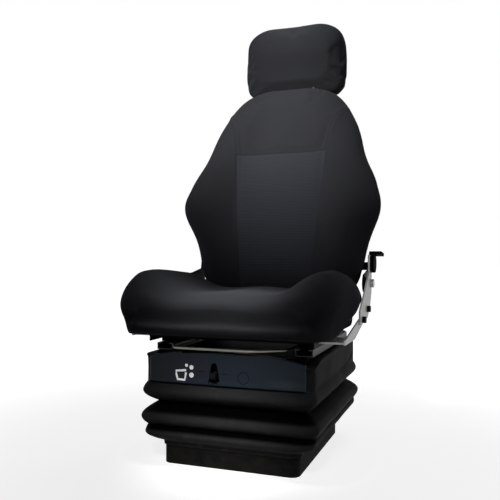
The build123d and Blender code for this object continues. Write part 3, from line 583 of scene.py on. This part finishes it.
def panel_finish():
    """Blue-black gloss with a painted highlight as a paler patch towards one end, scuffs, and painted shade
    as dark lines on the moulded marks.
    """
    gloss = Finish("panel_gloss")
    x, _, z = gloss.parts(gloss.place())
    cloud = gloss.noise(12, 4)
    smear = gloss.noise(55, 7, 0.7)
    tint = (x / 0.36 + 0.5 + (cloud - 0.5) * 0.5).clamp()
    colour = gloss.mix(tint, (0.0190, 0.0230, 0.0370), (0.0180, 0.0350, 0.0510))
    # Painted highlight: a paler blue patch near the right end stands in for a reflection on the gloss
    painted_highlight = (((x - 0.140) / 0.045) ** 2 + ((z - 0.203) / 0.012) ** 2) ** 0.5
    colour = gloss.mix((1 - painted_highlight.step(0.0, 1.3)) * (cloud * 0.9 + 0.2), colour, (0.050, 0.072, 0.096))
    scuff = (smear - 0.56).clamp() * 2.2
    colour = gloss.mix(scuff.clamp(0, 0.35), colour, (0.035, 0.042, 0.050))
    # Painted shade: the moulded ring and dashes are drawn as near-black lines on the face
    ring = abs(((x - RING["x"]) ** 2 + (z - RING["z"]) ** 2) ** 0.5 - RING["radius"])
    groove = 1 - ring.step(0.0004, 0.0016)
    for middle, half, height in DASHES:
        away = (abs(x - middle) - half).clamp() + abs(z - height)
        groove = groove.math("MAXIMUM", groove, 1 - away.step(0.0006, 0.0018))
    return gloss.surface(
        Base_Color=gloss.mix(groove * 0.85, colour, (0.003, 0.004, 0.006)),
        Roughness=0.16 + scuff * 0.30 + cloud * 0.08,
        Specular_IOR_Level=0.08,
        Coat_Weight=0.04,
        Coat_Roughness=0.12,
        Normal=gloss.bump(cloud, 0.002, 0.35),
    )


def slot_outline(grow=0.0, steps=9):
    """Corner points of the lever's slot: straight sides that lean in under a round arch."""
    low, top, half = SLOT["low"] - grow, SLOT["top"] + grow, SLOT["half"] + grow
    neck = half * 0.55
    angle = np.linspace(0, np.pi, steps)
    arch = np.stack([SLOT["x"] + neck * np.cos(angle), top - 0.010 + 0.010 * np.sin(angle)], axis=1)
    foot = np.array([(SLOT["x"] - half, low), (SLOT["x"] + half, low)])
    return np.concatenate([foot, arch])


def prism(name, outline, near, far, material):
    """A closed bar with an (x, z) outline. near and far are the y of its ends, or one y for each point."""
    count = len(outline)
    front = np.stack([outline[:, 0], np.broadcast_to(near, count), outline[:, 1]], axis=1)
    back = np.stack([outline[:, 0], np.broadcast_to(far, count), outline[:, 1]], axis=1)
    step = np.arange(count)
    turn = (step + 1) % count
    sides = np.stack([step, step + count, turn + count, turn], axis=1)
    faces = [list(step), list((step + count)[::-1])] + sides.tolist()
    return make_piece(name, np.concatenate([front, back]), faces, material, smooth=False)


def make_panel():
    across = np.linspace(-PANEL_HALF, PANEL_HALF, 281)
    up = np.linspace(0, 1, 63)
    up = (1 - np.cos(np.pi * up)) / 2 * 0.35 + up * 0.65
    x = np.broadcast_to(across[None, :], (len(up), len(across)))
    z = PANEL_BOTTOM + (panel_top(x) - PANEL_BOTTOM) * up[:, None]
    front = np.stack([x, panel_face(x, z), z], axis=2)
    rows, columns = front.shape[:2]
    index = np.arange(rows * columns).reshape(rows, columns)
    quads = [index[:-1, :-1], index[:-1, 1:], index[1:, 1:], index[1:, :-1]]
    faces = np.stack(quads, axis=2).reshape(-1, 4).tolist()
    edge = np.concatenate([index[0, :], index[1:, -1], index[-1, -2::-1], index[-2:0:-1, 0]])
    points = front.reshape(-1, 3)
    back = points[edge].copy()
    back[:, 1] = PANEL_BACK
    start = len(points)
    ring = start + np.arange(len(edge))
    turn = np.roll(np.arange(len(edge)), -1)
    walls = np.stack([edge, ring, ring[turn], edge[turn]], axis=1)
    finish = panel_finish()
    faces += walls.tolist() + [list(ring[::-1])]
    panel = make_piece("front_panel", np.concatenate([points, back]), faces, finish)
    cutter = prism("slot_cutter", slot_outline(), -0.230, -0.205, finish)
    cut = panel.modifiers.new("slot", "BOOLEAN")
    cut.object = cutter
    cut.solver = "EXACT"
    settle(panel)
    bpy.data.objects.remove(cutter)
    edge_bevel = panel.modifiers.new("edge", "BEVEL")
    edge_bevel.width = 0.0006
    edge_bevel.segments = 2
    edge_bevel.limit_method = "ANGLE"
    edge_bevel.angle_limit = math.radians(50)
    settle(panel)
    panel.data.shade_smooth()
    panel.data.set_sharp_from_angle(angle=math.radians(40))
    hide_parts("fascia_panel")
    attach(panel, "housing")


make_panel()


# The seat sign is white print on the panel that glows a little as painted light: an outline of a seat with
# three dots, which says that the lever sets its height.
def glowing_print_finish():
    ink = Finish("white_print_glowing")
    worn = (ink.noise(500, 5, 0.7) - 0.6).clamp() * 2
    return ink.surface(
        Base_Color=ink.mix(worn, (0.85, 0.85, 0.85), (0.30, 0.31, 0.33)),
        Roughness=0.45 + worn * 0.2,
        Specular_IOR_Level=0.3,
        # Painted light: the print glows a little, though nothing in it is a lamp
        Emission_Color=(1.0, 1.0, 1.0, 1.0),
        Emission_Strength=0.3,
    )


def flat_mark(name, outline, material):
    """A thin film of print that follows the panel, 0.25 mm proud of it, from a closed (x, z) outline."""
    film = 0.00025
    face = panel_face(outline[:, 0], outline[:, 1])
    piece = prism(name, outline, face - film, face + film, material)
    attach(piece, "housing")


def disc_outline(x, z, radius, steps=20):
    angle = np.linspace(0, 2 * np.pi, steps, endpoint=False)
    return np.stack([x + radius * np.cos(angle), z + radius * np.sin(angle)], axis=1)


def stroke_outline(points, width):
    """A line of that width along the points, closed at both ends."""
    points = np.asarray(points, float)
    run = np.gradient(points, axis=0)
    side = np.stack([-run[:, 1], run[:, 0]], axis=1)
    side *= width / 2 / np.linalg.norm(side, axis=1, keepdims=True)
    return np.concatenate([points - side, (points + side)[::-1]])


white = glowing_print_finish()
seat_line = [
    (-0.0905, 0.2200), (-0.1155, 0.2175), (-0.1145, 0.2090),
    (-0.1110, 0.1990), (-0.0935, 0.1985), (-0.0910, 0.2150),
]
flat_mark("sign_seat", stroke_outline(seat_line, 0.0048), white)
dots = [(-0.0775, 0.2270, 0.0050), (-0.0775, 0.2100, 0.0056), (-0.0895, 0.2310, 0.0036)]
for number, (x, z, radius) in enumerate(dots, 1):
    flat_mark(f"sign_dot_{number}", disc_outline(x, z, radius), white)


# The lower slide rails, the side brackets and the recliner plates are zinc-plated steel, darker on the rails.
# The upper rails are coated black. A bent round bar across their front frees the latches.
dress(bright_steel("rail_zinc", 0.05, 0.45, 0.02), "lower_slide_rail_left", "lower_slide_rail_right")
dress(black_coat("rail_coat", 0.010, 0.55, 0.001), "upper_slide_rail_left", "upper_slide_rail_right")
dress(
    bright_steel("plate_zinc", 0.36, 0.42, 0.01, 60),
    "side_bracket_left", "side_bracket_right", "recliner_plate_left", "recliner_plate_right",
)
dress(bright_steel("bar_steel", 0.24, 0.35, 0.12), "release_bar")


# The recliner's bolts are coated black and its lever with the knurled hub is textured plastic. The headrest
# stands on posts of dark polished steel. The shell behind the back is grained plastic.
dress(black_coat("bolt_black", 0.02, 0.35), "plate_bolts")
dress(moulded_plastic("knob_plastic", (0.014, 0.014, 0.0135), 0.55, 0.0006, 0.004), "recline_lever")
dress(bright_steel("post_steel", 0.10, 0.25), "headrest_posts")
dress(moulded_plastic("shell_plastic", (0.022, 0.022, 0.0228), 0.55, 0.0005), "back_shell")


# The cushions are foam in a knitted polyester cover, which the foam blows up between the places where it is
# sewn or rests. The thread pattern follows the cloth.
def cloth_finish(name, dark, light, ribbed=None):
    """Knitted cover: crossing threads 1.6 mm apart, a soft cloudiness and a light sheen on the nap."""
    cloth = Finish(name)
    across, along, _ = cloth.parts(cloth.cloth_place())
    thread = 2 * math.pi / 0.0016
    twill = ((across + along) * thread).sine()
    cross = ((across - along) * thread).sine()
    weave = twill * 0.5 + cross * 0.3 + 0.5
    cloud = cloth.noise(7, 4)
    fuzz = cloth.noise(1400, 2)
    share = (weave * 0.35 + cloud * 0.35 + fuzz * 0.3).clamp()
    colour = cloth.mix(share, dark, light)
    height = weave * 0.7 + fuzz * 0.5
    if ribbed:
        colour = ribbed(cloth, colour, weave)
    return cloth.surface(
        Base_Color=colour,
        Roughness=0.86 + fuzz * 0.12,
        Specular_IOR_Level=0.01,
        Sheen_Weight=0.03,
        Sheen_Roughness=0.45,
        Sheen_Tint=(0.75, 0.8, 1.0, 1.0),
        Normal=cloth.bump(height, 0.00035, 0.8),
    )


def corners(piece):
    """The places of the piece's vertices as one array."""
    flat = np.empty(len(piece.data.vertices) * 3)
    piece.data.vertices.foreach_get("co", flat)
    return flat.reshape(-1, 3)


def put_corners(piece, places):
    piece.data.vertices.foreach_set("co", np.asarray(places, np.float32).ravel())
    piece.data.update()


def lay_weave(piece, axes):
    """Gives the cloth its thread coordinates, in metres: a face takes the two axes that it lies along."""
    mesh = piece.data
    layer = mesh.uv_layers.get("weave") or mesh.uv_layers.new(name="weave")
    places = corners(piece) @ np.asarray(axes).T
    count = len(mesh.polygons)
    normal = np.empty(count * 3)
    mesh.polygons.foreach_get("normal", normal)
    normal = np.abs(normal.reshape(-1, 3) @ np.asarray(axes).T)
    sizes = np.empty(count, int)
    mesh.polygons.foreach_get("loop_total", sizes)
    facing = np.repeat(normal.argmax(axis=1), sizes)
    vertex = np.empty(len(mesh.loops), int)
    mesh.loops.foreach_get("vertex_index", vertex)
    first = np.array([1, 0, 0])[facing]
    second = np.array([2, 2, 1])[facing]
    at = places[vertex]
    step = np.arange(len(vertex))
    layer.data.foreach_set("uv", np.stack([at[step, first], at[step, second]], axis=1).ravel())


FRAMES = 20


def stuff(name, node, voxel, material, body, held, cap, smoothing=6, inset=0.003):
    """A stuffed copy of a solid: an even skin, blown up by its foam, held where it is sewn or rests.

    held gives, for places on the skin, how firmly each is fixed, from 0 to 1. No place moves more than cap.
    """
    mesh = nodes[node].data.copy()
    piece = bpy.data.objects.new(name, mesh)
    scene.collection.objects.link(piece)
    even = piece.modifiers.new("even", "REMESH")
    even.mode = "VOXEL"
    even.voxel_size = voxel
    soften = piece.modifiers.new("soften", "SMOOTH")
    soften.factor = 0.5
    soften.iterations = smoothing
    settle(piece)
    piece.data.materials.clear()
    piece.data.materials.append(material)
    start = corners(piece)
    fixed = held(start)
    normal = np.empty(len(start) * 3)
    piece.data.vertices.foreach_get("normal", normal)
    normal = normal.reshape(-1, 3)
    small = start - normal * inset * (1 - fixed)[:, None]
    put_corners(piece, small)
    group = piece.vertex_groups.new(name="held")
    for level in np.unique(np.round(fixed, 1)):
        members = np.flatnonzero(np.round(fixed, 1) == level).tolist()
        group.add(members, float(level), "REPLACE")
    cloth = piece.modifiers.new("cover", "CLOTH")
    cloth.settings.vertex_group_mass = "held"
    cloth.settings.use_pressure = True
    cloth.settings.uniform_pressure_force = 4
    cloth.settings.effector_weights.gravity = 0
    cloth.settings.quality = 4
    cloth.collision_settings.use_collision = False
    cloth.point_cache.frame_start = 1
    cloth.point_cache.frame_end = FRAMES
    for number in range(1, FRAMES + 1):
        scene.frame_set(number)
    settle(piece)
    scene.frame_set(1)
    piece.vertex_groups.clear()
    move = corners(piece) - small
    length = np.linalg.norm(move, axis=1, keepdims=True)
    put_corners(piece, small + move * np.minimum(1, cap / np.maximum(length, 1e-9)))
    finer = piece.modifiers.new("finer", "SUBSURF")
    finer.levels = 1
    finer.render_levels = 1
    settle(piece)
    piece.data.shade_smooth()
    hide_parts(node)
    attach(piece, body)
    return piece


# The seat cushion has a rolled front edge and raised sides. It sits flat on the pan.
SEAT_FOOT = 0.2983
SIDE_RISE = 0.011
SIDE_SWELL = 0.025


def make_seat_cushion():
    def held(at):
        return 1 - np.clip((at[:, 2] - SEAT_FOOT - 0.004) / 0.030, 0, 1)

    finish = cloth_finish("seat_cloth", (0.030, 0.031, 0.035), (0.062, 0.063, 0.069))
    cushion = stuff("seat_cushion_cover", "seat_cushion", 0.0065, finish, "seat_frame", held, 0.007)
    # The sides stand a little higher than the foam's blank, and swell out in front of the recliner plates
    at = corners(cushion)
    away, y, z = np.abs(at[:, 0]), at[:, 1], at[:, 2]
    side = np.clip((away - 0.110) / 0.090, 0, 1)
    upper = np.clip((z - 0.345) / 0.050, 0, 1)
    between = np.clip((0.090 - y) / 0.060, 0, 1) * np.clip((y + 0.250) / 0.060, 0, 1)
    swell = np.exp(-(((y + 0.050) / 0.060) ** 2)) * np.exp(-(((z - 0.362) / 0.050) ** 2))
    swell *= np.clip((-0.006 - y) / 0.020, 0, 1) * np.clip((away - 0.200) / 0.050, 0, 1)
    at[:, 2] += SIDE_RISE * side**2 * (3 - 2 * side) * upper * between
    at[:, 0] += SIDE_SWELL * np.sign(at[:, 0]) * swell
    put_corners(cushion, at)
    lay_weave(cushion, np.eye(3))


make_seat_cushion()


# The back cushion has wings at the sides, a sewn yoke over the shoulders and a pleated middle.
LEAN = math.radians(12)
BACK_FOOT = np.array([0.0, 0.200, 0.430])
INSERT_TOP = 0.328
INSERT_FOOT = -0.029
INSERT_HALF = 0.105
INSERT_SPREAD = 0.025
YOKE_SEAM = [(0.130, INSERT_TOP), (0.1325, 0.350), (0.140, 0.395), (0.156, 0.440), (0.185, 0.478)]
LONG_SEAM = [(INSERT_HALF, INSERT_FOOT), *YOKE_SEAM]
SEAM_DEPTH, CROSS_SEAM_DEPTH, SEAM_WIDTH = 0.0026, 0.0034, 0.0030
PLEAT_PITCH, PLEAT_DEPTH = 0.017, 0.0005
LINE_PITCH = 0.0042


def line_distance(across, along, line):
    """Distance from points in a plane to a line of straight runs."""
    nearest = np.full(across.shape, 1e9)
    for (x0, y0), (x1, y1) in zip(line, line[1:]):
        run_x, run_y = x1 - x0, y1 - y0
        share = np.clip(((across - x0) * run_x + (along - y0) * run_y) / (run_x**2 + run_y**2), 0, 1)
        nearest = np.minimum(nearest, np.hypot(across - x0 - share * run_x, along - y0 - share * run_y))
    return nearest


def back_places(at):
    """(x, up the back, out of the back) of points in the seat's frame."""
    y, z = at[:, 1] - BACK_FOOT[1], at[:, 2] - BACK_FOOT[2]
    return at[:, 0], y * math.sin(LEAN) + z * math.cos(LEAN), -y * math.cos(LEAN) + z * math.sin(LEAN)


def insert_half(up):
    """Half the width of the pleated middle at a height up the back."""
    return INSERT_HALF + INSERT_SPREAD * (up - INSERT_FOOT) / (INSERT_TOP - INSERT_FOOT)


def cross_seam(side, up):
    """Distance from the seam over the pleated middle, for points within its width."""
    return np.where(side < 0.131, np.abs(up - INSERT_TOP), 1.0)


def make_back_cushion():
    def held(at):
        across, up, out = back_places(at)
        side = np.abs(across)
        sewn = np.minimum(line_distance(side, up, LONG_SEAM), cross_seam(side, up))
        sewn = np.clip(1 - sewn / 0.012, 0, 1) * 0.9
        rests = 1 - np.clip((out - 0.008) / 0.020, 0, 1)
        return np.maximum(sewn, rests)

    def middle(cloth, colour, weave):
        """Lighter cloth with fine lines across it, where insert_half says that the pleated middle is."""
        x, y, z = cloth.parts(cloth.place())
        y, z = y - BACK_FOOT[1], z - BACK_FOOT[2]
        up = y * math.sin(LEAN) + z * math.cos(LEAN)
        out = z * math.sin(LEAN) - y * math.cos(LEAN)
        edge = INSERT_HALF + (up - INSERT_FOOT) * (INSERT_SPREAD / (INSERT_TOP - INSERT_FOOT)) - abs(x)
        soft = 0.0008
        inside = edge.step(-soft, soft) * (INSERT_TOP - up).step(-soft, soft) * out.step(0.02, 0.03)
        line = (up * (2 * math.pi / LINE_PITCH)).sine()
        light = cloth.mix(weave * 0.4 + line * 0.25 + 0.3, (0.036, 0.038, 0.046), (0.076, 0.079, 0.093))
        return cloth.mix(inside, colour, light)

    finish = cloth_finish("back_cloth", (0.030, 0.031, 0.035), (0.060, 0.061, 0.067), middle)
    cushion = stuff("back_cushion_cover", "back_cushion", 0.0060, finish, "backrest", held, 0.006, 14)
    # The seams are grooves in the front, and the pleats are shallow rolls between them
    at = corners(cushion)
    across, up, out = back_places(at)
    front = np.clip((out - 0.030) / 0.015, 0, 1)
    side = np.abs(across)
    seam = line_distance(side, up, [(INSERT_HALF, -0.060), *LONG_SEAM])
    groove = SEAM_DEPTH * np.exp(-((seam / SEAM_WIDTH) ** 2))
    groove += CROSS_SEAM_DEPTH * np.exp(-((cross_seam(side, up) / SEAM_WIDTH) ** 2))
    inside = np.clip((insert_half(up) - side) / 0.006, 0, 1)
    inside = inside * np.clip((INSERT_TOP - 0.004 - up) / 0.004, 0, 1)
    phase = ((INSERT_TOP - up) / PLEAT_PITCH) % 1.0
    pleat = PLEAT_DEPTH * np.abs(np.sin(np.pi * phase)) ** 0.6 - PLEAT_DEPTH
    move = (-groove + pleat * inside) * front
    direction = np.array([0, -math.cos(LEAN), math.sin(LEAN)])
    put_corners(cushion, at + direction * move[:, None])
    axes = np.array([[1, 0, 0], [0, math.sin(LEAN), math.cos(LEAN)], [0, -math.cos(LEAN), math.sin(LEAN)]])
    lay_weave(cushion, axes[[0, 2, 1]])


make_back_cushion()


# The headrest is a small foam pad in the same cloth, on two dark steel posts. Its face is crowned, and its
# lower front turns back under the pad.
PAD_FOOT = 0.964
PAD_CROWN, CROWN_HEIGHT = 0.009, 1.085
TURNED_BACK = 0.017


def make_headrest():
    def held(at):
        return 1 - np.clip((at[:, 2] - PAD_FOOT) / 0.020, 0, 1)

    finish = cloth_finish("headrest_cloth", (0.030, 0.031, 0.035), (0.058, 0.059, 0.064))
    cushion = stuff("headrest_cover", "headrest_cushion", 0.0050, finish, "headrest", held, 0.006, 10)
    at = corners(cushion)
    low = np.clip((1.060 - at[:, 2]) / 0.100, 0, 1)
    front = np.clip((0.350 - at[:, 1]) / 0.040, 0, 1)
    crown = PAD_CROWN * np.exp(-(((at[:, 2] - CROWN_HEIGHT) / 0.045) ** 2))
    at[:, 1] += (TURNED_BACK * low**2 - crown) * front
    put_corners(cushion, at)
    lay_weave(cushion, np.eye(3))


make_headrest()
